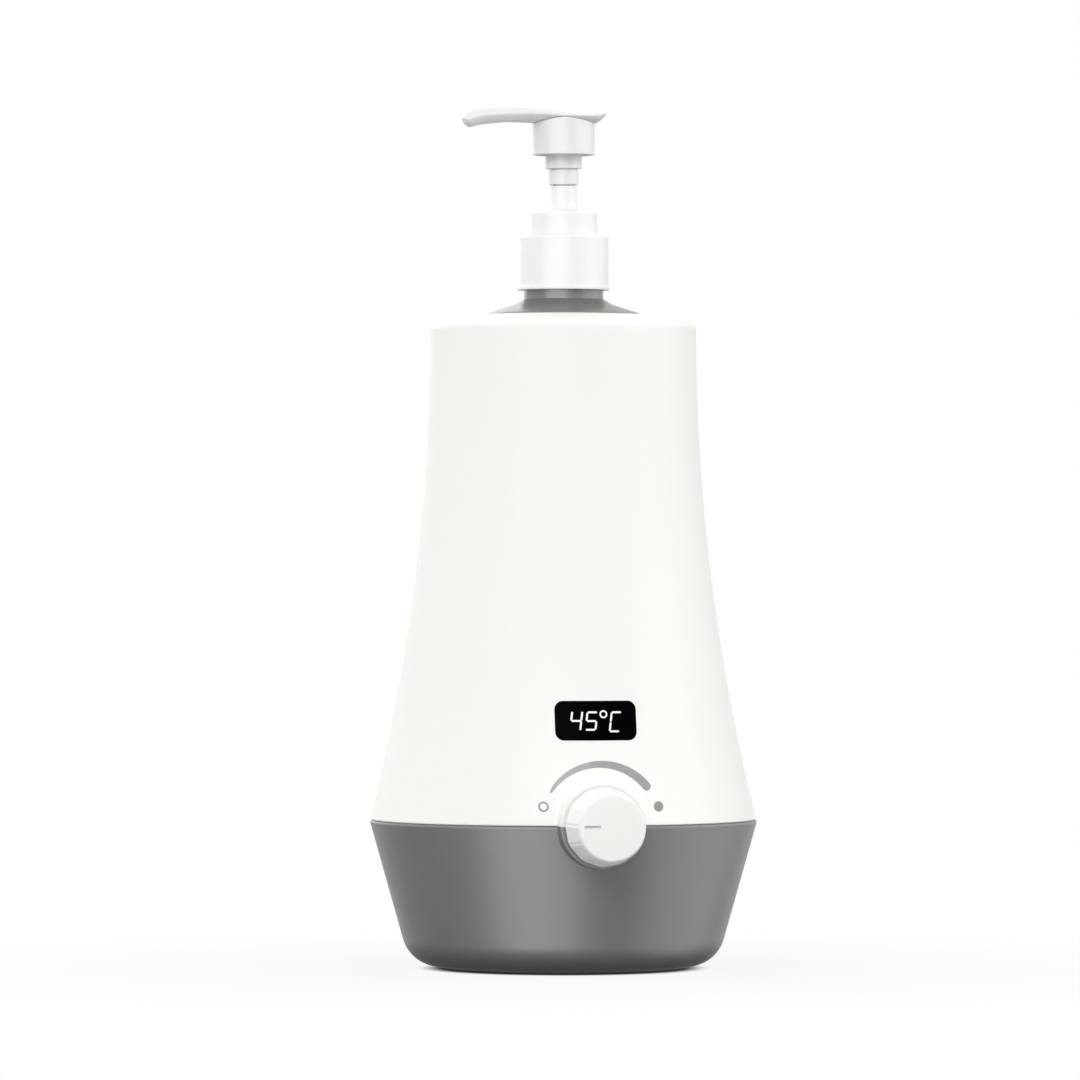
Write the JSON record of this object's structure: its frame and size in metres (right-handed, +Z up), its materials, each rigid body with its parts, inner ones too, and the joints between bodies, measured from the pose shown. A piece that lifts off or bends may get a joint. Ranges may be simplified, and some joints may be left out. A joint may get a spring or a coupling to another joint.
{
  "type": "massage oil warmer",
  "caption": "Countertop oil warmer: a pump bottle stands in a heated well inside a flared two-part housing with a lit temperature window and a rotary knob.",
  "frame": {"origin": "on the table, under the middle of the base, on the axis of the housing and the pump", "axes": "+Z up along the pump's axis; the display and the knob face -Y; the spout points to -X at rest; the mains inlet faces +Y"},
  "size_m": [0.135, 0.1552, 0.301],
  "materials": {
    "shell_white": "fine satin moulded plastic, warm white",
    "bowl_grey": "satin moulded plastic, mid grey",
    "bottle_grey": "satin blown plastic, mid grey",
    "knob_white": "semi-gloss moulded plastic, warm white",
    "pump_white": "glossy moulded plastic, white",
    "window_black": "polished black window",
    "foot_rubber": "matte black rubber",
    "seal_rubber": "grey silicone",
    "cup_aluminium": "drawn aluminium",
    "fastener_steel": "zinc-plated steel",
    "black_plastic": "black moulded plastic",
    "heater_silicone": "red-brown silicone mat",
    "board_green": "green lacquered board",
    "component_yellow": "taped winding",
    "component_blue": "sleeved component",
    "terminal_green": "green moulded block",
    "pin_brass": "plated brass",
    "lead_brown": "brown insulated lead",
    "lead_cream": "cream silicone lead",
    "natural_plastic": "natural translucent plastic"
  },
  "bodies": {
    "housing": {"base_bowl": "bowl_grey", "body_shell": "shell_white", "foot_ring": "foot_rubber", "housing_screws": "fastener_steel", "heating_cup": "cup_aluminium", "well_gasket": "seal_rubber", "clamp_ring": "black_plastic", "clamp_screws": "fastener_steel", "heater_band": "heater_silicone", "thermal_cutout": "black_plastic", "temperature_sensor": "pin_brass", "cutout_nuts": "fastener_steel", "display_window": "window_black", "display_module": "black_plastic", "front_board": "board_green", "potentiometer": "fastener_steel", "power_board": "board_green", "board_screws": "fastener_steel", "transformer": "component_yellow", "filter_capacitor": "component_blue", "heater_relay": "component_blue", "terminal_block": "terminal_green", "mains_inlet": "black_plastic", "inlet_pins": "pin_brass", "mains_leads": "lead_brown", "heater_leads": "lead_cream", "sensor_lead": "lead_brown", "signal_ribbon": "lead_cream"},
    "knob": {"control_knob": "knob_white", "pot_shaft": "fastener_steel"},
    "bottle_body": {"bottle": "bottle_grey"},
    "pump_body": {"pump_cylinder": "natural_plastic", "lock_ring": "pump_white", "neck_gasket": "natural_plastic", "dip_tube": "natural_plastic", "inlet_ball": "fastener_steel", "return_spring": "fastener_steel"},
    "collar": {"screw_collar": "pump_white"},
    "plunger": {"pump_stem": "pump_white", "piston": "natural_plastic"},
    "head": {"pump_head": "pump_white"}
  },
  "joints": [
    {"name": "knob_turn", "type": "hinge", "parent": "housing", "child": "knob", "pos_m": [0, -0.07, 0.052], "axis": [0, 1, 0], "range_deg": [0, 180]},
    {"name": "bottle_lift", "type": "slide", "parent": "housing", "child": "bottle_body", "axis": [0, 0, 1], "range_m": [0, 0.16]},
    {"name": "pump_lift", "type": "slide", "parent": "bottle_body", "child": "pump_body", "axis": [0, 0, 1], "range_m": [0, 0.00635]},
    {"name": "collar_turn", "type": "hinge", "parent": "pump_body", "child": "collar", "pos_m": [0, 0, 0.245], "axis": [0, 0, 1], "range_deg": [0, 540]},
    {"name": "pump_stroke", "type": "slide", "parent": "pump_body", "child": "plunger", "axis": [0, 0, -1], "range_m": [0, 0.015], "stiffness_N_per_m": 600, "springref_m": -0.012, "deforming": ["return_spring"]},
    {"name": "head_swivel", "type": "hinge", "parent": "plunger", "child": "head", "pos_m": [0, 0, 0.285], "axis": [0, 0, 1], "continuous": true}
  ],
  "couplings": [
    {"joint": "pump_lift", "follows": "collar_turn", "m_per_rad": 0.00067323}
  ]
}
